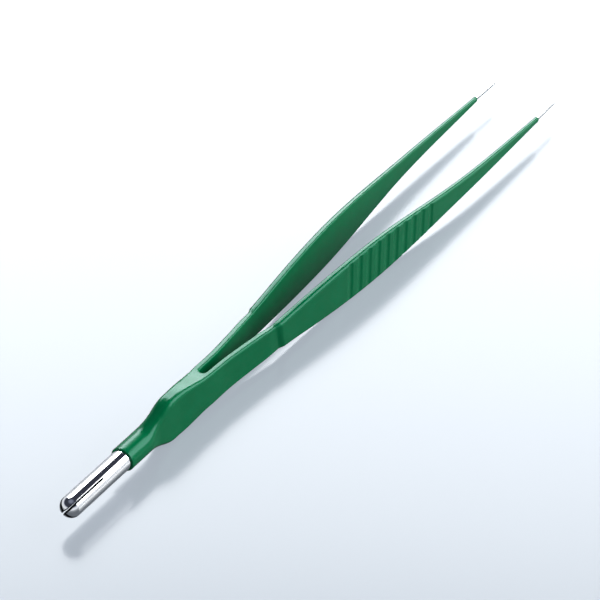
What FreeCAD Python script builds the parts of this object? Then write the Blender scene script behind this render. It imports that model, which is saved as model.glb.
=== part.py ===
import FreeCAD, Part
import math
import os

# Monopolar diathermy forceps, lying flat on one side.
# X runs from the contact pin to the working tips, Y across the opening, Z up.
# Lengths are first laid out from the pin's nose, with the pin's axis at height zero.
# At the end everything is moved so that the origin is under the middle of the part.

Vector = FreeCAD.Vector

# Contact pin, a turned plug with a cross slit in its round nose and a slotted heel
pin_diameter = 4.0
pin_exposed = 16.3
slit_width = 0.3
slit_length = 9.4
slit_turn = 40.0
nose_drill_diameter = 0.9
pin_seat_diameter = 3.6
pin_seat_length = 5.5
pin_heel_length = 1.6
pin_heel_diameter = 2.9

# Insulating coat
coat = 0.25
coat_lip_radius = 0.1

# Shank, where both blades lie together: a tube, a flare, a flat plate and a waist that ends
# at the crotch. The tube is pressed thin at once and flares in height more slowly.
tube_diameter = 4.7
tube_length = 5.1
narrowing_length = 4.2
flare_length = 8.7
plate_length = 1.4
waist_length = 9.45
shank_height = 9.3
shank_thickness = 3.1
waist_height = 7.2
plate_edge_radius = 0.7
spring_edge_radius = 0.5
tang_seat = 4.8

# Fork, where the blades part
crotch_gap = 1.4
fork_length = 6.75
fork_edge_radius = 0.4
flexure_nose_radius = 0.95
flexure_clearance = 0.06

# Spring section of each arm, and the step at its end
spring_length = 14.3
spring_thickness = 1.35
spring_end_height = 6.0
step_length = 1.3

# Grip section of each arm, which widens to a crest and tapers to the end of the coat
grip_rise_length = 27.4
grip_fall_length = 35.0
neck_length = 32.4
grip_start_thickness = 1.58
grip_start_height = 6.3
grip_crest_height = 9.26
grip_edge_radius = 0.85
neck_height = 4.3
coat_end_thickness = 0.95
coat_end_height = 1.2
coat_end_radius = 0.4

# Bare working tip of each arm
bare_tip_length = 8.6
tip_thickness = 0.42
tip_height = 0.55
tip_bevel = 0.08
tip_bevel_length = 0.4

# Finger grooves across the outer face of each arm
groove_count = 10
groove_start = 20.4
groove_pitch = 3.15
groove_depth = 0.2
groove_radius = 1.9

# Half the opening between the coated arms, at places along them
gap_at_flexure = 0.9
gap_at_step = 2.33
gap_at_crest = 4.6
gap_at_neck = 6.65
gap_at_coat_end = 7.17
gap_at_tip = 7.3

# Smallest round and smallest straight stretch that a section may have,
# and how many flats stand for a quarter turn of round in the shank and in the slim arms
least_edge_radius = 0.12
least_flat = 0.04
shank_round_flats = 4
arm_round_flats = 3

# Places along X worked out from the sizes above
flare_at = pin_exposed + tube_length
plate_at = flare_at + flare_length
waist_from = plate_at + plate_length
waist_at = waist_from + waist_length
crotch_centre = waist_at
crotch_at = crotch_centre - crotch_gap / 2
flexure_at = crotch_at + fork_length
step_at = flexure_at + spring_length
grip_at = step_at + step_length
crest_at = grip_at + grip_rise_length
neck_at = crest_at + grip_fall_length
coat_end_at = neck_at + neck_length
overall_length = coat_end_at + bare_tip_length
pin_heel_at = pin_exposed + pin_seat_length
pin_end_at = pin_heel_at + pin_heel_length
root_shoulder_at = plate_at - flare_length / 2
tube_radius = tube_diameter / 2
blades_together = shank_thickness - 2 * coat


def eased(amount):
    """Zero to one with level ends."""
    amount = min(max(amount, 0.0), 1.0)
    return amount * amount * (3 - 2 * amount)


def between(start, end, amount):
    """Value that lies amount of the way from start to end."""
    return start + (end - start) * min(max(amount, 0.0), 1.0)


def spread(start, end, count):
    """Evenly spaced places from start to end."""
    return [start + (end - start) * i / (count - 1) for i in range(count)]


def through(points, x):
    """Value at x of a smooth curve through the points."""
    last = len(points) - 1
    slopes = []
    for i in range(last + 1):
        before = points[max(i - 1, 0)]
        after = points[min(i + 1, last)]
        slopes.append((after[1] - before[1]) / (after[0] - before[0]))
    i = 0
    while i < last - 1 and x > points[i + 1][0]:
        i += 1
    x0, y0 = points[i]
    x1, y1 = points[i + 1]
    span = x1 - x0
    u = (x - x0) / span
    rise = y0 + (y1 - y0) * eased(u)
    lean = (u ** 3 - 2 * u ** 2 + u) * slopes[i] + (u ** 3 - u ** 2) * slopes[i + 1]
    return rise + span * lean


def inner_face(x):
    """Half the opening between the coated arms at x."""
    points = [
        (crotch_centre, crotch_gap / 2),
        (flexure_at, gap_at_flexure),
        (step_at, gap_at_step),
        (crest_at, gap_at_crest),
        (neck_at, gap_at_neck),
        (coat_end_at, gap_at_coat_end),
    ]
    return through(points, x)


def arm_thickness(x):
    """Thickness of the coated arm at x."""
    if x <= grip_at:
        return between(spring_thickness, grip_start_thickness, (x - step_at) / step_length)
    return between(grip_start_thickness, coat_end_thickness, (x - grip_at) / (coat_end_at - grip_at))


def arm_half_height(x):
    """Half the height of the coated arm at x."""
    if x <= step_at:
        return between(waist_height, spring_end_height, (x - waist_at) / (step_at - waist_at)) / 2
    if x <= grip_at:
        return between(spring_end_height, grip_start_height, (x - step_at) / step_length) / 2
    if x <= crest_at:
        turn = (x - grip_at) / grip_rise_length * math.pi / 2
        return between(grip_start_height, grip_crest_height, math.sin(turn)) / 2
    # The first point mirrors the neck, which keeps the crest level
    points = [
        (crest_at - grip_fall_length, neck_height / 2),
        (crest_at, grip_crest_height / 2),
        (neck_at, neck_height / 2),
        (coat_end_at, coat_end_height / 2),
    ]
    return through(points, x)


def arm_edge_radius(x):
    """Radius of the arm's outer long edges at x."""
    if x <= step_at:
        return spring_edge_radius
    return between(grip_edge_radius, coat_end_radius, (x - grip_at) / (coat_end_at - grip_at))


def section(x, near, far, half_height, near_radius, far_radius, flats):
    """Rounded rectangle across X, from y = near to y = far."""
    room = min((far - near) / 2, half_height) - least_flat
    near_round = min(max(near_radius, least_edge_radius), room)
    far_round = min(max(far_radius, least_edge_radius), room)
    corners = [
        (near + near_round, near_round - half_height, near_round, 180),
        (far - far_round, far_round - half_height, far_round, 270),
        (far - far_round, half_height - far_round, far_round, 0),
        (near + near_round, half_height - near_round, near_round, 90),
    ]
    points = []
    for y, z, radius, start in corners:
        for angle in spread(start, start + 90, flats + 1):
            a = math.radians(angle)
            points.append(Vector(x, y + radius * math.cos(a), z + radius * math.sin(a)))
    return Part.makePolygon(points + points[:1])


def mirrored(shape):
    """The same shape on the right side."""
    return shape.mirror(Vector(0, 0, 0), Vector(0, 1, 0))


def shank_section(x, skin):
    """Section of the shank at x, skin deep under its surface."""
    flared = eased((x - flare_at) / flare_length)
    half_width = between(tube_radius, shank_thickness / 2, eased((x - flare_at) / narrowing_length))
    half_height = between(tube_radius, shank_height / 2, flared)
    radius = between(tube_radius, plate_edge_radius, flared)
    if x > waist_from:
        waisted = (x - waist_from) / waist_length
        half_width = between(half_width, crotch_gap / 2 + spring_thickness, waisted)
        half_height = between(shank_height, waist_height, eased(waisted)) / 2
        radius = between(plate_edge_radius, spring_edge_radius, waisted)
    return section(x, skin - half_width, half_width - skin, half_height - skin, radius - skin,
                   radius - skin, shank_round_flats)


def arm_section(x, skin):
    """Section of the left arm at x, skin deep under its surface."""
    near = inner_face(x) + skin
    far = inner_face(x) + arm_thickness(x) - skin
    half_height = arm_half_height(x) - skin
    return section(x, near, far, half_height, fork_edge_radius - skin, arm_edge_radius(x) - skin,
                   arm_round_flats)


def bar(sections):
    """Solid bar through the sections."""
    return Part.makeLoft(sections, True, False)


def shank_bar(skin, start):
    """Both blade roots as one bar, from start to the crotch."""
    flare_places = [start] + [x for x in spread(flare_at, plate_at, 7) if x > start + least_flat]
    waist_places = spread(waist_from, waist_at, 5)
    pieces = []
    for places in (flare_places, [plate_at, waist_from], waist_places):
        pieces.append(bar([shank_section(x, skin) for x in places]))
    return pieces[0].fuse(pieces[1:])


def spring_bar(skin):
    """Spring section of the left arm, from the crotch to the step."""
    return bar([arm_section(x, skin) for x in spread(crotch_centre, step_at, 5)])


def crotch_cutter(skin):
    """Round bottom of the slot between the blades, broken at both rims, skin wider all round."""
    radius = crotch_gap / 2 + skin
    height = arm_half_height(crotch_at) - skin
    broken = max(fork_edge_radius - skin, least_edge_radius)
    up = Vector(0, 0, 1)
    cutter = Part.makeCylinder(radius, 2 * shank_height, Vector(crotch_centre, 0, -shank_height), up)
    for side in (1, -1):
        rim = Vector(crotch_centre, 0, side * (height - broken))
        cone = Part.makeCone(radius, radius + 2 * broken, 2 * broken, rim, up * side)
        cutter = cutter.fuse(cone)
    return cutter


def fork(skin, start):
    """Shank up to the flexures, with the slot between the two prongs."""
    prong = spring_bar(skin).common(behind_flexure())
    whole = shank_bar(skin, start).cut(crotch_cutter(skin)).fuse([prong, mirrored(prong)])
    room = flexure_round(flexure_nose_radius + flexure_clearance)
    return whole.cut([room, mirrored(room)]).removeSplitter()


def across(x):
    """Middle of the left arm's thickness at x."""
    return inner_face(x) + arm_thickness(x) / 2


def flexure_round(radius):
    """Upright cylinder at the left arm's flexure."""
    base = Vector(flexure_at, across(flexure_at), -shank_height)
    return Part.makeCylinder(radius, 2 * shank_height, base, Vector(0, 0, 1))


def behind_flexure():
    """Everything on the pin's side of the flexures."""
    reach = 2 * shank_height
    return Part.makeBox(flexure_at, reach, reach, Vector(0, -shank_height, -shank_height))


def make_contact_pin():
    """Turned pin with a domed, cross-slit nose and a slotted heel that grips the tang."""
    radius = pin_diameter / 2
    seat = pin_seat_diameter / 2
    lean = radius * math.sqrt(0.5)
    nose = Part.Arc(Vector(0, 0, 0), Vector(radius - lean, lean, 0), Vector(radius, radius, 0))
    outline = [
        Vector(radius, radius, 0),
        Vector(pin_exposed, radius, 0),
        Vector(pin_exposed, seat, 0),
        Vector(pin_heel_at, seat, 0),
        Vector(pin_end_at, pin_heel_diameter / 2, 0),
        Vector(pin_end_at, 0, 0),
        Vector(0, 0, 0),
    ]
    edges = [nose.toShape()]
    for start, end in zip(outline[:-1], outline[1:]):
        edges.append(Part.LineSegment(start, end).toShape())
    profile = Part.Face(Part.Wire(edges))
    pin = profile.revolve(Vector(0, 0, 0), Vector(1, 0, 0), 360)
    for turn in (slit_turn, slit_turn + 90):
        slit = Part.makeBox(2 * slit_length, 2 * pin_diameter, slit_width)
        slit.translate(Vector(-slit_length, -pin_diameter, -slit_width / 2))
        slit.rotate(Vector(0, 0, 0), Vector(1, 0, 0), -turn)
        pin = pin.cut(slit)
    drill_start = Vector(-slit_length, 0, 0)
    drill = Part.makeCylinder(nose_drill_diameter / 2, 2 * slit_length, drill_start, Vector(1, 0, 0))
    return pin.cut([drill, tang_blank(2 * pin_diameter)])


def tang_blank(height):
    """Bar of both blades' thickness that reaches from the pin's heel into the plate."""
    start = pin_end_at - tang_seat
    blank = Part.makeBox(plate_at - start, blades_together, height)
    blank.translate(Vector(start, -blades_together / 2, -height / 2))
    return blank


def make_blade_roots():
    """Roots of both blades, pressed together, with a tang turned down to fit the pin's heel."""
    turned = Part.makeCylinder(pin_seat_diameter / 2, plate_at, Vector(0, 0, 0), Vector(1, 0, 0))
    tang = tang_blank(pin_seat_diameter).common(turned)
    return fork(coat, root_shoulder_at).fuse(tang).removeSplitter()


def make_shank_coat(pin, roots):
    """Coat over the pin's seat, the shank and the fork."""
    tube = Part.makeCylinder(tube_radius, tube_length, Vector(pin_exposed, 0, 0), Vector(1, 0, 0))
    lip = [edge for edge in tube.Edges if edge.BoundBox.XMax < pin_exposed + coat_lip_radius]
    tube = tube.makeFillet(coat_lip_radius, lip)
    skin = tube.fuse(fork(0, flare_at))
    start = Vector(pin_exposed, 0, 0)
    bore = Part.makeCylinder(pin_seat_diameter / 2, pin_seat_length, start, Vector(1, 0, 0))
    return skin.cut([bore, pin, roots])


def arm_bar(skin):
    """Bar of the left arm up to the end of the coat, skin deep under its surface."""
    step = bar([arm_section(x, skin) for x in (step_at, grip_at)])
    places = spread(grip_at, crest_at, 4)
    places += spread(crest_at, neck_at, 5)[1:]
    places += spread(neck_at, coat_end_at, 4)[1:]
    grip = bar([arm_section(x, skin) for x in places])
    whole = spring_bar(skin).fuse([step, grip])
    root = whole.common(behind_flexure()).common(flexure_round(flexure_nose_radius))
    return whole.cut(behind_flexure()).fuse(root).removeSplitter()


def grooved(arm, skin):
    """Cut the finger grooves into the arm's outer face, skin deep under its surface."""
    cutters = []
    for i in range(groove_count):
        x = grip_at + groove_start + i * groove_pitch
        y = inner_face(x) + arm_thickness(x) - groove_depth + groove_radius
        base = Vector(x, y, -shank_height)
        cutters.append(Part.makeCylinder(groove_radius + skin, 2 * shank_height, base, Vector(0, 0, 1)))
    return arm.cut(cutters)


def make_bare_tip():
    """Working tip of the left blade, beyond the coat, with a bevelled end."""
    near = inner_face(coat_end_at) + coat
    far = inner_face(coat_end_at) + coat_end_thickness - coat
    half_height = coat_end_height / 2 - coat
    tip_far = gap_at_tip + tip_thickness
    half_tip = tip_height / 2
    fine = least_edge_radius
    wires = [
        section(coat_end_at, near, far, half_height, fine, fine, 1),
        section(overall_length - tip_bevel_length, gap_at_tip, tip_far, half_tip, fine, fine, 1),
        section(overall_length, gap_at_tip + tip_bevel, tip_far - tip_bevel, half_tip - tip_bevel,
                fine, fine, 1),
    ]
    return Part.makeLoft(wires, True, True)


def make_blade():
    """Steel blade of the left arm, with its bare working tip."""
    return grooved(arm_bar(coat), coat).fuse(make_bare_tip()).removeSplitter()


def make_arm_coat(blade):
    """Coat of the left arm, with its finger grooves."""
    return grooved(arm_bar(0), 0).cut(blade)


def main():
    os.makedirs("parts", exist_ok=True)
    pin = make_contact_pin()
    roots = make_blade_roots()
    blade = make_blade()
    arm_coat = make_arm_coat(blade)
    nodes = {
        "contact_pin": pin,
        "blade_roots": roots,
        "shank_coat": make_shank_coat(pin, roots),
        "left_blade": blade,
        "left_coat": arm_coat,
        "right_blade": mirrored(blade),
        "right_coat": mirrored(arm_coat),
    }
    for name, shape in nodes.items():
        placed = shape.copy()
        placed.translate(Vector(-overall_length / 2, 0, shank_height / 2))
        placed.exportStep(os.path.join("parts", name + ".step"))
        print(name, len(placed.Solids), placed.isValid(), round(placed.Volume, 2), placed.BoundBox)
    print("overall length", overall_length)


main()
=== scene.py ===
import math
import bmesh
import bpy
from mathutils import Matrix, Vector


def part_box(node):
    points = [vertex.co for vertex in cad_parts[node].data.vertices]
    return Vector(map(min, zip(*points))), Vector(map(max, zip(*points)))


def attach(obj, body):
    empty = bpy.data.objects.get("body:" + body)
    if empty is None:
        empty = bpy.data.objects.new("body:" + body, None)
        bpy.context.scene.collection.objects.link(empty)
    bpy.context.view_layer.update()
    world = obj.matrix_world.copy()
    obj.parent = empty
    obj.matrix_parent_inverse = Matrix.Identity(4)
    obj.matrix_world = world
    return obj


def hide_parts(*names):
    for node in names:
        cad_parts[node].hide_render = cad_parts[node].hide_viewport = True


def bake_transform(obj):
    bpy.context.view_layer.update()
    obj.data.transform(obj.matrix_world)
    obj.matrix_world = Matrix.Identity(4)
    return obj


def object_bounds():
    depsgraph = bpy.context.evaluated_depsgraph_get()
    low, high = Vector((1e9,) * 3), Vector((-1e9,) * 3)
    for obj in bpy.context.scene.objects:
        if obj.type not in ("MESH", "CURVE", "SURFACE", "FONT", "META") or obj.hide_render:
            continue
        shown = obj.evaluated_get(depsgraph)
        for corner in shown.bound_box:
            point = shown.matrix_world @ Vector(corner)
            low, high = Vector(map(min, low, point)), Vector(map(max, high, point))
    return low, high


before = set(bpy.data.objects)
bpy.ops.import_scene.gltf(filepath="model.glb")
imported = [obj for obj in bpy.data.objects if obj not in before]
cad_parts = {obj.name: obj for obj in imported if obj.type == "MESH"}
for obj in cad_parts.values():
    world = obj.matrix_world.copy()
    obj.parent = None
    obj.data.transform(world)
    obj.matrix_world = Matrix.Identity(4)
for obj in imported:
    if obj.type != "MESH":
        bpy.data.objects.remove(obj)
cad_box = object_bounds()

# Monopolar diathermy forceps: green coated shank and sprung arms, plated contact pin, bare tips.
# Shapes are laid out in millimetres from the pin's nose, with the pin's axis at height zero,
# and put into the frame when a mesh is made.

mm = 0.001
shank_low, shank_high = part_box("shank_coat")
axis_height = (shank_low[2] + shank_high[2]) / 2
tips_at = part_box("left_blade")[1][0] / mm

# Contact pin
pin_radius = 2.0
pin_exposed = 16.3
pin_hidden = 3.6
slit_half = 0.15
slit_length = 9.4
slit_turn = 40.0
# The broken edges along the slits carry the painted slit shade, so the wider break on the nose paints
# dark wedges there.
slit_break_nose = 0.2
slit_break_side = 0.06
nose_drill_radius = 0.45
nose_countersink = 1.15

# Coat
coat = 0.25
coat_lip = 0.1
bore_depth = 4.0
bore_clearance = 0.004

# Shank
tube_radius = 2.35
tube_length = 5.1
narrowing_length = 4.2
flare_length = 8.7
plate_length = 1.4
waist_length = 9.45
shank_height = 9.3
shank_thickness = 3.1
waist_height = 7.2
plate_edge_radius = 1.0
spring_edge_radius = 0.5

# Fork
crotch_gap = 1.4
fork_length = 6.75
fork_edge_radius = 0.4
crotch_border = 0.6
seam_past_crotch = 2.5

# Arms
spring_length = 14.3
spring_thickness = 1.35
spring_end_height = 6.0
step_length = 1.3
step_softness = 0.12
step_set_back = 1.2
step_lean = 0.2
step_reach = 5.0
step_hollow = 0.18
step_hollow_length = 4.0
grip_rise_length = 27.4
grip_fall_length = 35.0
neck_length = 32.4
grip_start_thickness = 1.58
grip_start_height = 6.3
grip_crest_height = 9.26
grip_edge_radius = 0.85
neck_height = 4.3
coat_end_thickness = 0.95
coat_end_height = 1.2
coat_end_radius = 0.4
bare_tip_length = 8.6
tip_thickness = 0.42
tip_height = 0.55
tip_edge_radius = 0.12

# Finger grooves
groove_count = 10
groove_start = 20.4
groove_pitch = 3.15
groove_depth = 0.2
groove_radius = 1.9
groove_softness = 0.05

# Half the opening between the coated arms
gap_at_flexure = 0.9
gap_at_step = 2.33
gap_at_crest = 4.6
gap_at_neck = 6.65
gap_at_coat_end = 7.17
gap_at_tip = 7.3

# Places along the forceps
flare_at = pin_exposed + tube_length
plate_at = flare_at + flare_length
waist_from = plate_at + plate_length
waist_at = waist_from + waist_length
crotch_centre = waist_at
crotch_at = crotch_centre - crotch_gap / 2
flexure_at = crotch_at + fork_length
step_at = flexure_at + spring_length
grip_at = step_at + step_length
crest_at = grip_at + grip_rise_length
neck_at = crest_at + grip_fall_length
coat_end_at = neck_at + neck_length
overall_length = coat_end_at + bare_tip_length
seam_at = crotch_centre + seam_past_crotch

# How finely the meshes are divided
corner_steps = 10
wall_steps = 8
top_steps = 12
fill_rows = 4
lip_steps = 5
tube_sections = 10
flare_sections = 48
waist_sections = 26
crotch_sections = 8
spring_sections = 24
step_sections = 22
step_margin = 1.0
rise_sections = 20
sections_per_groove = 16
fall_sections = 56
tip_sections = 12
nose_sections = 22
slit_sections = 24
body_sections = 30
quarter_steps = 30
slit_wall_steps = 6

# Least flat beside a rounding and least difference between two places, in millimetres
least_flat = 0.03
hair = 1e-6

# Points closer than this are one point, and shorter edges go, in metres
weld_distance = 2e-7
shortest_edge = 1e-7

# Edges sharper than this stay crisp, in degrees
coat_crease = 38.0
pin_crease = 30.0

# Reach of the noise that the surface masks are stretched from
noise_low = 0.3
noise_high = 0.7

# Panels of the studio that show only in reflections: azimuth from, to and soft edge, elevation
# from, to and soft edge, all in degrees, and brightness, where one shows a white card as white
back_panel = ((16, 58, 6), (22, 44.5, 2.5), 12.0)
side_panel = ((-66, -25, 5), (14, 44, 3.5), 7.5)
overhead_glow = ((-180, 180, 1), (82, 90, 26), 0.22)
pale_horizon = ((-180, 180, 1), (-90, 16, 16), 0.8)
dark_ceiling = 0.06
even_light = 0.13

# Soft lamps: azimuth and elevation in degrees, width and height in metres, radiance
studio_lamps = {
    "back_lamp": (37.0, 36.0, 1.4, 0.9, 0.9),
    "side_lamp": (-46.0, 24.0, 1.4, 1.0, 2.9),
    "far_side_lamp": (105.0, 7.0, 1.6, 0.3, 2.6),
}

# Floor: half its size in metres, its glow in reflections as a share of the glow in view,
# and its mirror strength in view and in reflections
floor_reach = 3.0
floor_glow_reflected = 0.2
floor_mirror = 0.35
floor_mirror_reflected = 0.12

# Camera, as the outline in the photo gives it: place in metres, lens and sensor in millimetres,
# and turns in degrees
camera_place = (-0.280394, -0.170791, 0.239426)
camera_lens = 123.9
camera_sensor = 36.0
camera_yaw = 32.234
camera_pitch = 36.326
camera_roll = 0.7405


def to_frame(x, y, z):
    """A place laid out from the pin's nose, as a point of the frame in metres."""
    return ((x - overall_length + tips_at) * mm, y * mm, z * mm + axis_height)


def eased(amount):
    """Zero to one with level ends."""
    amount = min(max(amount, 0.0), 1.0)
    return amount * amount * (3 - 2 * amount)


def between(start, end, amount):
    """Value that lies amount of the way from start to end, and never past them."""
    return start + (end - start) * min(max(amount, 0.0), 1.0)


def spread(start, end, steps):
    """Evenly spaced values from start to end."""
    return [start + (end - start) * i / steps for i in range(steps + 1)]


def through(points, x):
    """Value at x of a smooth curve through the points."""
    last = len(points) - 1
    slopes = []
    for i in range(last + 1):
        before = points[max(i - 1, 0)]
        after = points[min(i + 1, last)]
        slopes.append((after[1] - before[1]) / (after[0] - before[0]))
    i = 0
    while i < last - 1 and x > points[i + 1][0]:
        i += 1
    x0, y0 = points[i]
    x1, y1 = points[i + 1]
    span = x1 - x0
    u = (x - x0) / span
    rise = y0 + (y1 - y0) * u * u * (3 - 2 * u)
    lean = (u ** 3 - 2 * u ** 2 + u) * slopes[i] + (u ** 3 - u ** 2) * slopes[i + 1]
    return rise + span * lean


def inner_face(x):
    """Half the opening between the coated arms at x."""
    points = [
        (crotch_centre, crotch_gap / 2),
        (flexure_at, gap_at_flexure),
        (step_at, gap_at_step),
        (crest_at, gap_at_crest),
        (neck_at, gap_at_neck),
        (coat_end_at, gap_at_coat_end),
    ]
    return through(points, x)


def stepped(x):
    """How far x is through the step, with softened ends."""
    return eased((x - step_at + step_softness) / (step_length + 2 * step_softness))


def arm_thickness(x):
    """Thickness of the coated arm at x."""
    grip = between(grip_start_thickness, coat_end_thickness, (x - grip_at) / (coat_end_at - grip_at))
    hollowed = eased(1 - (step_at - x) / step_hollow_length)
    return between(spring_thickness - step_hollow * hollowed, grip, stepped(x))


def arm_half_height(x):
    """Half the height of the coated arm at x."""
    spring = between(waist_height, spring_end_height, (x - waist_at) / (step_at - waist_at))
    if x <= crest_at:
        turn = min(max((x - grip_at) / grip_rise_length, 0.0), 1.0) * math.pi / 2
        grip = between(grip_start_height, grip_crest_height, math.sin(turn))
        return between(spring, grip, stepped(x)) / 2
    points = [
        (crest_at - grip_fall_length, neck_height / 2),
        (crest_at, grip_crest_height / 2),
        (neck_at, neck_height / 2),
        (coat_end_at, coat_end_height / 2),
    ]
    return through(points, x)


def arm_edge_radius(x):
    """Radius of the arm's outer long edges at x."""
    grip = between(grip_edge_radius, coat_end_radius, (x - grip_at) / (coat_end_at - grip_at))
    return between(spring_edge_radius, grip, stepped(x))


def shank_size(x):
    """Half width, half height and edge radius of the shank at x."""
    flared = eased((x - flare_at) / flare_length)
    half_width = between(tube_radius, shank_thickness / 2, eased((x - flare_at) / narrowing_length))
    half_height = between(tube_radius, shank_height / 2, flared)
    radius = between(tube_radius, plate_edge_radius, flared)
    if x > waist_from:
        waisted = (x - waist_from) / waist_length
        half_width = between(half_width, crotch_gap / 2 + spring_thickness, waisted)
        half_height = between(shank_height, waist_height, eased(waisted)) / 2
        radius = between(plate_edge_radius, spring_edge_radius, waisted)
    if x > crotch_centre:
        half_width = inner_face(x) + spring_thickness
        half_height = arm_half_height(x)
    return half_width, half_height, radius


def corner_strip(x, far, half_height, radius, inward):
    """Points down one side, from the top flat round the edges to the bottom flat.

    far is where the side lies in Y and inward the way from the side into the body.
    """
    strip = []
    for angle in spread(0, math.pi / 2, corner_steps):
        off = radius * (1 - math.sin(angle))
        strip.append((x, far + inward * off, half_height - radius * (1 - math.cos(angle))))
    wall_top = half_height - radius
    for z in spread(wall_top, -wall_top, wall_steps)[1:-1]:
        strip.append((x, far, z))
    mirrored = [(px, py, -pz) for px, py, pz in strip[:corner_steps + 1]]
    return strip + mirrored[::-1]


def across_row(start, end, steps):
    """Points on the straight line from one point to another."""
    row = []
    for amount in spread(0, 1, steps):
        row.append(tuple(s + (e - s) * amount for s, e in zip(start, end)))
    return row


def closed_ring(left, right, steps):
    """Section ring from the strips down both sides, joined across the top and the bottom."""
    bottom = across_row(left[-1], right[-1], steps)
    top = across_row(right[0], left[0], steps)
    return left + bottom[1:] + right[-2::-1] + top[1:]


def piece_from_patches(name, patches, crease=coat_crease, second_look=()):
    """One mesh piece from grids of points that share their borders.

    crease is the angle from which an edge stays crisp, and second_look numbers the patches that
    show the piece's second material.
    """
    mesh = bpy.data.meshes.new(name)
    shape = bmesh.new()
    for number, patch in enumerate(patches):
        rows = [[shape.verts.new(to_frame(*point)) for point in row] for row in patch]
        for low, high in zip(rows[:-1], rows[1:]):
            for i in range(len(low) - 1):
                face = shape.faces.new((low[i], low[i + 1], high[i + 1], high[i]))
                face.material_index = 1 if number in second_look else 0
    bmesh.ops.remove_doubles(shape, verts=shape.verts, dist=weld_distance)
    bmesh.ops.dissolve_degenerate(shape, edges=shape.edges, dist=shortest_edge)
    bmesh.ops.recalc_face_normals(shape, faces=shape.faces)
    shape.to_mesh(mesh)
    shape.free()
    mesh.shade_smooth()
    mesh.set_sharp_from_angle(angle=math.radians(crease))
    piece = bpy.data.objects.new(name, mesh)
    bpy.context.scene.collection.objects.link(piece)
    return piece


def turned_patches(patches):
    """The same patches turned over to the other side of the opening."""
    return [[[(x, -y, -z) for x, y, z in row] for row in patch] for patch in patches]


def cap(ring):
    """Patch that closes a ring with rows that shrink to its middle."""
    count = len(ring) - 1
    middle = tuple(sum(point[axis] for point in ring[:-1]) / count for axis in range(3))
    rows = []
    for amount in (1.0, 0.5, 0.0):
        rows.append([tuple(m + (p - m) * amount for p, m in zip(point, middle)) for point in ring])
    return rows


# Shank coat

def shank_strips(x, grow=0.0):
    """Left and right side strips of the shank at x, grown outwards by grow."""
    half_width, half_height, radius = shank_size(x)
    half_width += grow
    half_height += grow
    radius = min(radius + grow, half_width - least_flat, half_height - least_flat)
    left = corner_strip(x, half_width, half_height, radius, -1)
    right = [(px, -py, pz) for px, py, pz in left]
    return left, right


def shank_ring(x, grow=0.0):
    """Section ring of the shank at x, grown outwards by grow."""
    left, right = shank_strips(x, grow)
    return closed_ring(left, right, top_steps)


def shank_stations():
    """Places along the shank where its sections stand."""
    stations = spread(pin_exposed + coat_lip, flare_at, tube_sections)
    stations += spread(flare_at, waist_from, flare_sections)[1:]
    stations += spread(waist_from, crotch_at - crotch_border, waist_sections)[1:]
    stations += spread(crotch_at - crotch_border, crotch_centre, crotch_sections)[1:]
    stations += spread(crotch_centre, seam_at, crotch_sections)[1:]
    return stations


def prong_stations():
    """Places of the sections past the crotch."""
    return [x for x in shank_stations() if x > crotch_centre + hair]


def flat_edge(x):
    """Where the shank's top flat ends in Y at x."""
    half_width, _, radius = shank_size(x)
    return half_width - radius


def top_height(x):
    """Half the height of the shank at x."""
    return shank_size(x)[1]


def crotch_rectangle():
    """Three-sided border round the crotch, from the left side back across to the right side."""
    back_from = crotch_at - crotch_border - hair
    back = [x for x in shank_stations() if back_from < x < crotch_centre + hair]
    border = [(x, flat_edge(x)) for x in reversed(back)]
    back_y = flat_edge(back[0])
    border += [(back[0], y) for y in spread(back_y, -back_y, top_steps)[1:-1]]
    border += [(x, -flat_edge(x)) for x in back]
    return border


def fork_border():
    """Outer edge of the fork's top flat, point for point with the slot's path."""
    left = [(x, flat_edge(x)) for x in reversed(prong_stations())]
    return left + crotch_rectangle() + [(x, -y) for x, y in reversed(left)]


def slot_path():
    """Points round the slot's wall from the left seam to the right one, with their way into the coat."""
    left = [((x, inner_face(x)), (0.0, 1.0)) for x in reversed(prong_stations())]
    radius = crotch_gap / 2
    around = []
    for x, y in crotch_rectangle():
        angle = math.atan2(y, x - crotch_centre)
        away = (math.cos(angle), math.sin(angle))
        around.append(((crotch_centre + radius * away[0], radius * away[1]), away))
    right = [((x, -inner_face(x)), (0.0, -1.0)) for x in prong_stations()]
    return left + around + right


def slot_strip(place, away):
    """Strip down the slot's wall at one point of its path."""
    x, y = place
    strip = corner_strip(0.0, 0.0, top_height(x), fork_edge_radius, 1)
    return [(x + away[0] * off, y + away[1] * off, z) for _, off, z in strip]


def lip_rings():
    """Rings round the coat's rounded end and down its bore."""
    rings = []
    for angle in spread(0, math.pi / 2, lip_steps):
        off = coat_lip * (1 - math.cos(angle))
        rings.append([(pin_exposed + coat_lip * (1 - math.sin(angle)), y, z)
                      for _, y, z in shank_ring(pin_exposed + coat_lip, -off)])
    outer = rings[-1]
    bore = pin_radius + bore_clearance
    inner = []
    for _, y, z in outer:
        size = math.hypot(y, z)
        inner.append((pin_exposed, y / size * bore, z / size * bore))
    rings.append(inner)
    rings.append([(pin_exposed + bore_depth, y, z) for _, y, z in inner])
    return rings


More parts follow.
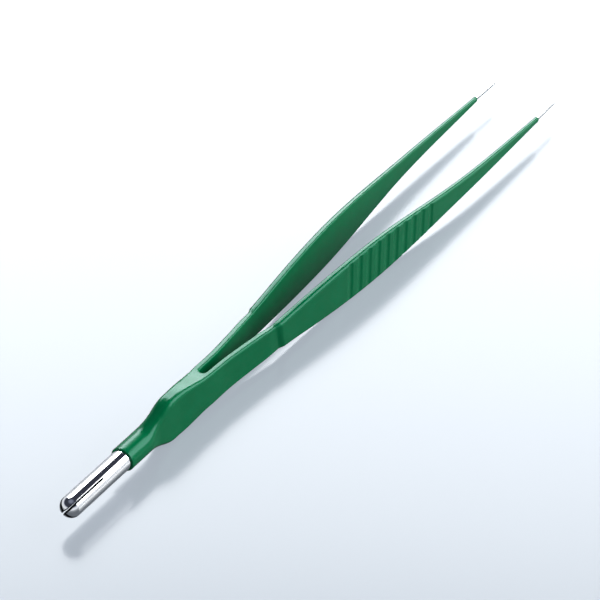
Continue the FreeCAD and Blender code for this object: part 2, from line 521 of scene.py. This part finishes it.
def make_shank_coat():
    """Coat of the shank, from the pin to a seam just past the crotch on each prong."""
    stations = shank_stations()
    left = [shank_strips(x)[0] for x in stations]
    right = [shank_strips(x)[1] for x in stations]
    back_at = crotch_at - crotch_border + hair
    top = []
    bottom = []
    for x, left_strip, right_strip in zip(stations, left, right):
        if x < back_at:
            top.append(across_row(left_strip[0], right_strip[0], top_steps))
            bottom.append(across_row(left_strip[-1], right_strip[-1], top_steps))
    slot = [slot_strip(place, away) for place, away in slot_path()]
    fill_top = []
    fill_bottom = []
    for strip, (x, y) in zip(slot, fork_border()):
        rows = across_row(strip[0], (x, y, top_height(x)), fill_rows)
        level = [(px, py, top_height(px)) for px, py, _ in rows]
        fill_top.append(level)
        fill_bottom.append([(px, py, -pz) for px, py, pz in level])
    ends = []
    for outer, inner in ((left[-1], slot[0]), (right[-1], slot[-1])):
        ends.append([across_row(a, b, fill_rows) for a, b in zip(outer, inner)])
    rings = lip_rings()
    patches = [left, right, top, bottom, slot, fill_top, fill_bottom, rings, cap(rings[-1])] + ends
    piece = piece_from_patches("shank_coat_skin", patches)
    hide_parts("shank_coat")
    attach(piece, "shank")
    return piece


# Arms

def groove_cut(x):
    """Depth of the finger grooves at x, less than zero where there is none."""
    first = grip_at + groove_start
    nearest = round((x - first) / groove_pitch)
    nearest = min(max(nearest, 0), groove_count - 1)
    off = x - first - nearest * groove_pitch
    if abs(off) >= groove_radius:
        return -groove_depth
    return math.sqrt(groove_radius ** 2 - off ** 2) - groove_radius + groove_depth


def soft_least(a, b, softness):
    """Smaller of two values, with a soft change from one to the other."""
    h = max(softness - abs(a - b), 0.0) / softness
    return min(a, b) - h * h * softness / 4


def arm_strips(x, skin):
    """Inner and outer side strips of the left arm at x, skin deep under the coat's surface."""
    near = inner_face(x) + skin
    far = inner_face(x) + arm_thickness(x) - skin
    half_height = arm_half_height(x) - skin
    room = min((far - near) / 2, half_height) - least_flat
    near_radius = min(max(fork_edge_radius - skin, tip_edge_radius), room)
    far_radius = min(max(arm_edge_radius(x) - skin, tip_edge_radius), room)
    outer = corner_strip(x, far, half_height, far_radius, -1)
    inner = corner_strip(x, near, half_height, near_radius, 1)
    deepest = far - groove_cut(x)
    cut = [(px, soft_least(py, deepest, groove_softness), pz) for px, py, pz in outer]
    return inner, cut


def arm_ring(x, skin):
    """Section ring of the left arm at x, set back and leaning a little where the ground step is."""
    inner, outer = arm_strips(x, skin)
    near = math.cos(math.pi / 2 * min(abs(x - step_at) / step_reach, 1.0)) ** 2
    ring = closed_ring(outer, inner, fill_rows)
    return [(px - near * (step_set_back - step_lean * pz), py, pz) for px, py, pz in ring]


def arm_stations():
    """Places along the coated arm where its sections stand, closest at the step and the grooves."""
    groove_from = grip_at + groove_start - groove_pitch / 2
    groove_to = groove_from + groove_count * groove_pitch
    stations = spread(seam_at, step_at - step_margin, spring_sections)
    stations += spread(step_at - step_margin, grip_at + step_margin, step_sections)[1:]
    stations += spread(grip_at + step_margin, groove_from, rise_sections)[1:]
    stations += spread(groove_from, groove_to, groove_count * sections_per_groove)[1:]
    stations += spread(groove_to, coat_end_at - coat_lip, fall_sections)[1:]
    return stations


def tip_end_ring(x, near, far, half_height):
    """Section ring of the bare tip at its end."""
    room = min((far - near) / 2, half_height) - least_flat / 2
    radius = min(tip_edge_radius, room)
    outer = corner_strip(x, far, half_height, radius, -1)
    inner = corner_strip(x, near, half_height, radius, 1)
    return closed_ring(outer, inner, fill_rows)


def tip_ring(base, amount, near, far, half_height):
    """Section ring of the bare tip, amount of the way from the coat's end."""
    x = overall_length - tip_edge_radius
    end = tip_end_ring(x, near, far, half_height)
    ring = []
    for start, finish in zip(base, end):
        ring.append(tuple(s + (f - s) * amount for s, f in zip(start, finish)))
    return ring


def make_arm_patches():
    """Patches of the left arm's coat, a hollow skin with a rounded end."""
    outside = [arm_ring(x, 0.0) for x in arm_stations()]
    for angle in spread(0, math.pi / 2, lip_steps)[1:]:
        ring = arm_ring(coat_end_at, coat_lip * (1 - math.cos(angle)))
        x = coat_end_at - coat_lip * (1 - math.sin(angle))
        outside.append([(x, y, z) for _, y, z in ring])
    inside = [arm_ring(x, coat) for x in [coat_end_at] + arm_stations()[::-1]]
    return [outside + inside, [inside[-1], outside[0]]]


def make_blade_patches():
    """Patches of the left steel blade inside the coat, out to its bare tip."""
    rings = [arm_ring(x, coat) for x in arm_stations()]
    base = arm_ring(coat_end_at, coat)
    rings.append(base)
    near = gap_at_tip
    far = gap_at_tip + tip_thickness
    half_height = tip_height / 2
    for amount in spread(0, 1, tip_sections)[1:]:
        rings.append(tip_ring(base, amount, near, far, half_height))
    for angle in spread(0, math.pi / 2, lip_steps)[1:]:
        off = tip_edge_radius * (1 - math.cos(angle))
        x = overall_length - tip_edge_radius * (1 - math.sin(angle))
        rings.append(tip_end_ring(x, near + off, far - off, half_height - off))
    return [rings, cap(rings[0]), cap(rings[-1])]


def make_arms():
    """Coats and blades of both arms, each bending from the shank's prong into the arm."""
    pieces = []
    coat_patches = make_arm_patches()
    blade_patches = make_blade_patches()
    for side in ("left", "right"):
        if side == "right":
            coat_patches = turned_patches(coat_patches)
            blade_patches = turned_patches(blade_patches)
        skin = piece_from_patches(side + "_coat_skin", coat_patches)
        blade = piece_from_patches(side + "_blade_steel", blade_patches)
        for piece, node, slot in ((skin, side + "_coat", "green_coat"),
                                  (blade, side + "_blade", "blade_steel")):
            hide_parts(node)
            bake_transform(piece)
            pieces.append(piece)
    return pieces


# Contact pin

def pin_profile():
    """Places and radii along the pin, from the drilled nose to the end of the slits."""
    profile = []
    first = math.asin(nose_drill_radius / pin_radius) * nose_countersink
    for angle in spread(first, math.pi / 2, nose_sections):
        profile.append((pin_radius * (1 - math.cos(angle)), pin_radius * math.sin(angle)))
    profile += [(x, pin_radius) for x in spread(pin_radius, slit_length, slit_sections)[1:]]
    return profile


def quarter_arc(radius, turn, half_slit):
    """Angles across one of the four springy quarters, between the slits at that radius."""
    edge = math.asin(half_slit / radius)
    return [turn + angle for angle in spread(edge, math.pi / 2 - edge, quarter_steps)]


def round_point(x, radius, angle):
    """Point at x, at a radius and an angle round the pin's axis."""
    return (x, radius * math.cos(angle), radius * math.sin(angle))


def slit_break(x):
    """Width of the broken edge along the slits at x, larger on the nose."""
    return between(slit_break_nose, slit_break_side, x / pin_radius)


def quarter_patches(turn, profile):
    """Outer surface of one springy quarter, and its walls, which carry the painted slit shade.

    The walls are the drilled nose, and then the side and the broken edge in each of its two slits.
    """
    surface = []
    drilled = []
    for x, radius in profile:
        arc = quarter_arc(radius, turn, slit_half + slit_break(x))
        surface.append([round_point(x, radius, angle) for angle in arc])
        arc = quarter_arc(nose_drill_radius, turn, slit_half)
        drilled.append([round_point(x, nose_drill_radius, angle) for angle in arc])
    dark = [drilled]
    for side in (0, -1):
        outer = []
        for x, radius in profile:
            depth = max(radius - slit_break(x), nose_drill_radius)
            outer.append(round_point(x, depth, quarter_arc(depth, turn, slit_half)[side]))
        dark.append([across_row(o, d[side], slit_wall_steps) for o, d in zip(outer, drilled)])
        dark.append([[s[side], o] for s, o in zip(surface, outer)])
    return surface, dark


def slit_end(before, after):
    """Patch that ends a slit, from the walls of the quarter before it to those of the one after."""
    return [[first, second] for first, second in zip(before, after)]


def make_contact_pin():
    """Plated pin with a domed nose, two crossed slits with broken edges, and a drilled nose."""
    profile = pin_profile()
    quarters = []
    for quarter in range(4):
        turn = math.radians(slit_turn) + quarter * math.pi / 2
        quarters.append(quarter_patches(turn, profile))
    bright = []
    dark = []
    ring = []
    bore = []
    for quarter, (surface, walls) in enumerate(quarters):
        drilled, _, _, last_side, _ = walls
        next_surface, (_, next_side, _, _, _) = quarters[(quarter + 1) % 4]
        bright += [surface, [surface[0], drilled[0]]]
        dark += walls
        ring += surface[-1]
        bore += drilled[-1]
        before = [surface[-1][-1]] + last_side[-1]
        after = [next_surface[-1][0]] + next_side[-1]
        dark.append(slit_end(before, after))
    ring.append(ring[0])
    bore.append(bore[0])
    dark.append(cap(bore))
    body = []
    for x in spread(slit_length, pin_exposed + pin_hidden, body_sections):
        body.append([(x, y, z) for _, y, z in ring])
    bright += [body, cap(body[-1])]
    # The dark patches (slit walls, broken edges, slit ends and drilled nose) take the second material,
    # which is painted shade.
    numbers = range(len(bright), len(bright) + len(dark))
    piece = piece_from_patches("contact_pin_plated", bright + dark, pin_crease, numbers)
    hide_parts("contact_pin")
    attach(piece, "shank")
    return piece


# Shared surface effects

def new_group(name, inputs, outputs):
    """Empty node group with named sockets, and its input and output nodes."""
    group = bpy.data.node_groups.new(name, "ShaderNodeTree")
    for label, kind, value in inputs:
        socket = group.interface.new_socket(name=label, in_out="INPUT", socket_type=kind)
        if value is not None:
            socket.default_value = value
    for label, kind in outputs:
        group.interface.new_socket(name=label, in_out="OUTPUT", socket_type=kind)
    source = group.nodes.new("NodeGroupInput")
    sink = group.nodes.new("NodeGroupOutput")
    return group, source, sink


def add_math(tree, operation, first, second):
    """Math node on two values or sockets."""
    node = tree.nodes.new("ShaderNodeMath")
    node.operation = operation
    for socket, value in zip(node.inputs, (first, second)):
        if isinstance(value, (int, float)):
            socket.default_value = value
        else:
            tree.links.new(value, socket)
    return node.outputs[0]


def make_mottle_group():
    """Slow and fine unevenness of a surface, as a mask around one half."""
    group, source, sink = new_group(
        "surface_mottle",
        [("Coarse", "NodeSocketFloat", 400.0), ("Fine", "NodeSocketFloat", 6000.0),
         ("Balance", "NodeSocketFloat", 0.5)],
        [("Mask", "NodeSocketFloat")],
    )
    place = group.nodes.new("ShaderNodeTexCoord")
    tones = []
    for label in ("Coarse", "Fine"):
        noise = group.nodes.new("ShaderNodeTexNoise")
        noise.inputs["Detail"].default_value = 3.0
        group.links.new(place.outputs["Object"], noise.inputs["Vector"])
        group.links.new(source.outputs[label], noise.inputs["Scale"])
        tones.append(noise.outputs["Fac"])
    mix = group.nodes.new("ShaderNodeMix")
    group.links.new(source.outputs["Balance"], mix.inputs["Factor"])
    group.links.new(tones[0], mix.inputs["A"])
    group.links.new(tones[1], mix.inputs["B"])
    group.links.new(mix.outputs["Result"], sink.inputs["Mask"])
    return group


def make_line_group():
    """Fine lines across a chosen direction, such as turning or polishing marks, as a mask."""
    group, source, sink = new_group(
        "fine_lines",
        [("Stretch", "NodeSocketVector", (1.0, 1.0, 1.0)), ("Scale", "NodeSocketFloat", 3000.0)],
        [("Mask", "NodeSocketFloat")],
    )
    place = group.nodes.new("ShaderNodeTexCoord")
    stretch = group.nodes.new("ShaderNodeVectorMath")
    stretch.operation = "MULTIPLY"
    noise = group.nodes.new("ShaderNodeTexNoise")
    noise.inputs["Detail"].default_value = 4.0
    noise.inputs["Roughness"].default_value = 0.65
    group.links.new(place.outputs["Object"], stretch.inputs[0])
    group.links.new(source.outputs["Stretch"], stretch.inputs[1])
    group.links.new(stretch.outputs["Vector"], noise.inputs["Vector"])
    group.links.new(source.outputs["Scale"], noise.inputs["Scale"])
    group.links.new(noise.outputs["Fac"], sink.inputs["Mask"])
    return group


mottle_group = make_mottle_group()
line_group = make_line_group()


def new_material(name):
    """Material with a plain Principled shader, and that shader."""
    material = bpy.data.materials.new(name)
    material.use_nodes = True
    return material, material.node_tree, material.node_tree.nodes["Principled BSDF"]


def use_group(tree, group, **values):
    """The group placed in a material with its own values."""
    node = tree.nodes.new("ShaderNodeGroup")
    node.node_tree = group
    for label, value in values.items():
        node.inputs[label].default_value = value
    return node


def ranged(tree, value, low, high):
    """Value of a mask stretched from low to high."""
    node = tree.nodes.new("ShaderNodeMapRange")
    node.inputs["From Min"].default_value = noise_low
    node.inputs["From Max"].default_value = noise_high
    node.inputs["To Min"].default_value = low
    node.inputs["To Max"].default_value = high
    tree.links.new(value, node.inputs["Value"])
    return node.outputs["Result"]


def tinted(tree, factor, first, second):
    """Colour between two colours by a mask."""
    node = tree.nodes.new("ShaderNodeMix")
    node.data_type = "RGBA"
    node.inputs["A"].default_value = (*first, 1.0)
    node.inputs["B"].default_value = (*second, 1.0)
    tree.links.new(factor, node.inputs["Factor"])
    return node.outputs["Result"]


def bumped(tree, shader, height, distance):
    """Fine relief on a shader, its depth in metres."""
    node = tree.nodes.new("ShaderNodeBump")
    node.inputs["Strength"].default_value = 1.0
    node.inputs["Distance"].default_value = distance
    tree.links.new(height, node.inputs["Height"])
    tree.links.new(node.outputs["Normal"], shader.inputs["Normal"])


def make_green_coat():
    """Smooth moulded-on green coat with a soft gloss and a faint unevenness."""
    material, tree, shader = new_material("green_insulating_coat")
    mottle = use_group(tree, mottle_group, Coarse=350.0, Fine=5200.0, Balance=0.35)
    colour = tinted(tree, ranged(tree, mottle.outputs["Mask"], 0.0, 1.0),
                    (0.0, 0.205, 0.07), (0.0, 0.232, 0.083))
    tree.links.new(colour, shader.inputs["Base Color"])
    tree.links.new(ranged(tree, mottle.outputs["Mask"], 0.17, 0.24), shader.inputs["Roughness"])
    shader.inputs["IOR"].default_value = 1.5
    shader.inputs["Specular IOR Level"].default_value = 0.22
    shader.inputs["Specular Tint"].default_value = (0.6, 0.9, 1.0, 1.0)
    bumped(tree, shader, mottle.outputs["Mask"], 0.000005)
    return material


def make_plated_pin():
    """Polished plating over fine turning marks that run round the pin."""
    material, tree, shader = new_material("polished_plating")
    turned = use_group(tree, line_group, Stretch=(1.0, 0.03, 0.03), Scale=9000.0)
    mottle = use_group(tree, mottle_group, Coarse=500.0, Fine=3000.0, Balance=0.4)
    colour = tinted(tree, ranged(tree, mottle.outputs["Mask"], 0.0, 1.0),
                    (0.86, 0.865, 0.87), (0.92, 0.92, 0.92))
    tree.links.new(colour, shader.inputs["Base Color"])
    shader.inputs["Metallic"].default_value = 1.0
    tree.links.new(ranged(tree, turned.outputs["Mask"], 0.04, 0.075), shader.inputs["Roughness"])
    bumped(tree, shader, turned.outputs["Mask"], 0.0000012)
    return material


def make_painted_slit_shade():
    """Near-black matte paint in the pin's slits, on their broken edges and in the drilled nose: painted
    shade, with faint lines in it.
    """
    material, tree, shader = new_material("painted_slit_shade")
    sawn = use_group(tree, line_group, Stretch=(1.0, 1.0, 0.05), Scale=7000.0)
    colour = tinted(tree, ranged(tree, sawn.outputs["Mask"], 0.0, 1.0),
                    (0.012, 0.013, 0.015), (0.03, 0.031, 0.034))
    tree.links.new(colour, shader.inputs["Base Color"])
    tree.links.new(ranged(tree, sawn.outputs["Mask"], 0.55, 0.75), shader.inputs["Roughness"])
    shader.inputs["Specular IOR Level"].default_value = 0.2
    bumped(tree, shader, sawn.outputs["Mask"], 0.000002)
    return material


def make_blade_steel():
    """Finely brushed stainless steel, with the brushing along the blade."""
    material, tree, shader = new_material("brushed_blade_steel")
    brushed = use_group(tree, line_group, Stretch=(0.04, 1.0, 1.0), Scale=9000.0)
    colour = tinted(tree, ranged(tree, brushed.outputs["Mask"], 0.0, 1.0),
                    (0.66, 0.665, 0.67), (0.8, 0.8, 0.8))
    tree.links.new(colour, shader.inputs["Base Color"])
    shader.inputs["Metallic"].default_value = 1.0
    tree.links.new(ranged(tree, brushed.outputs["Mask"], 0.2, 0.32), shader.inputs["Roughness"])
    bumped(tree, shader, brushed.outputs["Mask"], 0.000002)
    return material


# Stage

def ray_kinds(tree):
    """Whether a ray comes straight to the camera, and whether it is a reflection."""
    rays = tree.nodes.new("ShaderNodeLightPath")
    straight = add_math(tree, "ADD", rays.outputs["Is Camera Ray"], rays.outputs["Is Transmission Ray"])
    return straight, rays.outputs["Is Glossy Ray"]


def make_floor():
    """Pale glossy floor that softly mirrors the forceps and glows a little, as a lit table does."""
    mesh = bpy.data.meshes.new("floor")
    corners = [(floor_reach * x, floor_reach * y, 0) for x, y in ((-1, -1), (1, -1), (1, 1), (-1, 1))]
    mesh.from_pydata(corners, [], [(0, 1, 2, 3)])
    floor = bpy.data.objects.new("floor", mesh)
    bpy.context.scene.collection.objects.link(floor)
    floor.location.z = cad_box[0][2]
    material, tree, shader = new_material("pale_gloss_floor")
    mottle = use_group(tree, mottle_group, Coarse=6.0, Fine=40.0, Balance=0.3)
    colour = tinted(tree, mottle.outputs["Mask"], (0.115, 0.13, 0.15), (0.125, 0.14, 0.16))
    tree.links.new(colour, shader.inputs["Base Color"])
    shader.inputs["Roughness"].default_value = 0.21
    shader.inputs["IOR"].default_value = 1.5
    straight, reflected = ray_kinds(tree)
    mirror = add_math(tree, "ADD", add_math(tree, "MULTIPLY", straight, floor_mirror),
                      add_math(tree, "MULTIPLY", reflected, floor_mirror_reflected))
    tree.links.new(mirror, shader.inputs["Specular IOR Level"])
    glow = add_math(tree, "ADD", straight, add_math(tree, "MULTIPLY", reflected, floor_glow_reflected))
    shader.inputs["Emission Color"].default_value = (0.345, 0.385, 0.435, 1.0)
    tree.links.new(glow, shader.inputs["Emission Strength"])
    mesh.materials.append(material)


def aim(thing, target):
    """Turn a lamp to face a point."""
    way = Vector(target) - thing.location
    thing.rotation_euler = way.to_track_quat("-Z", "Y").to_euler()


def make_lamp(name, azimuth, elevation, width, height, radiance):
    """Soft panel lamp a metre from the forceps. Azimuth is counted from +X towards +Y."""
    lamp = bpy.data.lights.new(name, "AREA")
    lamp.shape = "RECTANGLE"
    lamp.size = width
    lamp.size_y = height
    lamp.energy = radiance * math.pi * width * height
    panel = bpy.data.objects.new(name, lamp)
    bpy.context.scene.collection.objects.link(panel)
    a = math.radians(azimuth)
    e = math.radians(elevation)
    panel.location = (math.cos(e) * math.cos(a), math.cos(e) * math.sin(a), math.sin(e))
    aim(panel, (0, 0, 0))
    panel.visible_camera = False
    panel.visible_glossy = False


def make_window_group():
    """Mask that is one between two values and fades to zero beyond them."""
    group, source, sink = new_group(
        "soft_window",
        [("Value", "NodeSocketFloat", 0.0), ("From", "NodeSocketFloat", 0.0),
         ("To", "NodeSocketFloat", 1.0), ("Softness", "NodeSocketFloat", 0.1)],
        [("Mask", "NodeSocketFloat")],
    )
    sides = []
    for inner, outwards in (("From", "SUBTRACT"), ("To", "ADD")):
        fade = group.nodes.new("ShaderNodeMapRange")
        fade.interpolation_type = "SMOOTHSTEP"
        outer = add_math(group, outwards, source.outputs[inner], source.outputs["Softness"])
        group.links.new(source.outputs["Value"], fade.inputs["Value"])
        group.links.new(outer, fade.inputs["From Min"])
        group.links.new(source.outputs[inner], fade.inputs["From Max"])
        sides.append(fade.outputs["Result"])
    group.links.new(add_math(group, "MULTIPLY", *sides), sink.inputs["Mask"])
    return group


def add_panel_glow(tree, window, ways, panel):
    """Brightness of one studio panel as seen in a reflection that goes the given ways."""
    masks = []
    for way, (low, high, soft) in zip(ways, panel[:2]):
        mask = use_group(tree, window, From=math.radians(low), To=math.radians(high),
                         Softness=math.radians(soft))
        tree.links.new(way, mask.inputs["Value"])
        masks.append(mask.outputs["Mask"])
    return add_math(tree, "MULTIPLY", add_math(tree, "MULTIPLY", *masks), panel[2])


def make_world():
    """Pale studio: even light for the colours, and panels that show only in reflections."""
    world = bpy.data.worlds.new("studio")
    bpy.context.scene.world = world
    world.use_nodes = True
    tree = world.node_tree
    background = tree.nodes["Background"]
    window = make_window_group()
    place = tree.nodes.new("ShaderNodeTexCoord")
    parts = tree.nodes.new("ShaderNodeSeparateXYZ")
    tree.links.new(place.outputs["Generated"], parts.inputs[0])
    azimuth = add_math(tree, "ARCTAN2", parts.outputs["Y"], parts.outputs["X"])
    elevation = add_math(tree, "ARCSINE", parts.outputs["Z"], 0)
    panels = dark_ceiling
    for panel in (back_panel, side_panel, overhead_glow, pale_horizon):
        glow = add_panel_glow(tree, window, (azimuth, elevation), panel)
        panels = add_math(tree, "ADD", glow, panels)
    straight, reflected = ray_kinds(tree)
    shown = add_math(tree, "ADD", add_math(tree, "MULTIPLY", panels, reflected), straight)
    unseen = add_math(tree, "SUBTRACT", 1.0, add_math(tree, "ADD", reflected, straight))
    even = add_math(tree, "MULTIPLY", unseen, even_light)
    tree.links.new(add_math(tree, "ADD", shown, even), background.inputs["Strength"])
    matte = add_math(tree, "SUBTRACT", 1.0, reflected)
    pale = add_math(tree, "MINIMUM", add_math(tree, "ADD", panels, matte), 1.0)
    tree.links.new(tinted(tree, pale, (0.6, 0.68, 1.0), (0.95, 0.98, 1.0)), background.inputs["Color"])


def make_lights():
    """Large soft lamps behind the forceps and to their side, and a low one for the far side."""
    for name, values in studio_lamps.items():
        make_lamp(name, *values)


def make_camera():
    """Camera at the place and with the lens that the outline in the photo gives."""
    data = bpy.data.cameras.new("camera")
    data.sensor_width = camera_sensor
    data.lens = camera_lens
    camera = bpy.data.objects.new("camera", data)
    bpy.context.scene.collection.objects.link(camera)
    yaw = math.radians(camera_yaw)
    pitch = math.radians(camera_pitch)
    roll = math.radians(camera_roll)
    ahead = Vector((math.cos(pitch) * math.cos(yaw), math.cos(pitch) * math.sin(yaw), -math.sin(pitch)))
    level = ahead.cross(Vector((0, 0, 1))).normalized()
    above = level.cross(ahead)
    right = math.cos(roll) * level + math.sin(roll) * above
    up = math.cos(roll) * above - math.sin(roll) * level
    turn = Matrix((right, up, -ahead)).transposed()
    camera.matrix_world = Matrix.Translation(camera_place) @ turn.to_4x4()
    bpy.context.scene.camera = camera


def dress(piece, *materials):
    """Give a piece its materials."""
    for material in materials:
        piece.data.materials.append(material)


def main():
    """Build and dress the forceps, and set the stage round them."""
    green = make_green_coat()
    plating = make_plated_pin()
    steel = make_blade_steel()
    dress(make_shank_coat(), green)
    # The pin's second material is painted shade for its slits, broken edges and drilled nose.
    dress(make_contact_pin(), plating, make_painted_slit_shade())
    for piece in make_arms():
        dress(piece, green if piece.name.endswith("coat_skin") else steel)
    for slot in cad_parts["blade_roots"].material_slots:
        slot.material = steel
    make_floor()
    make_world()
    make_lights()
    make_camera()
    bpy.context.scene.view_settings.view_transform = "Standard"


main()
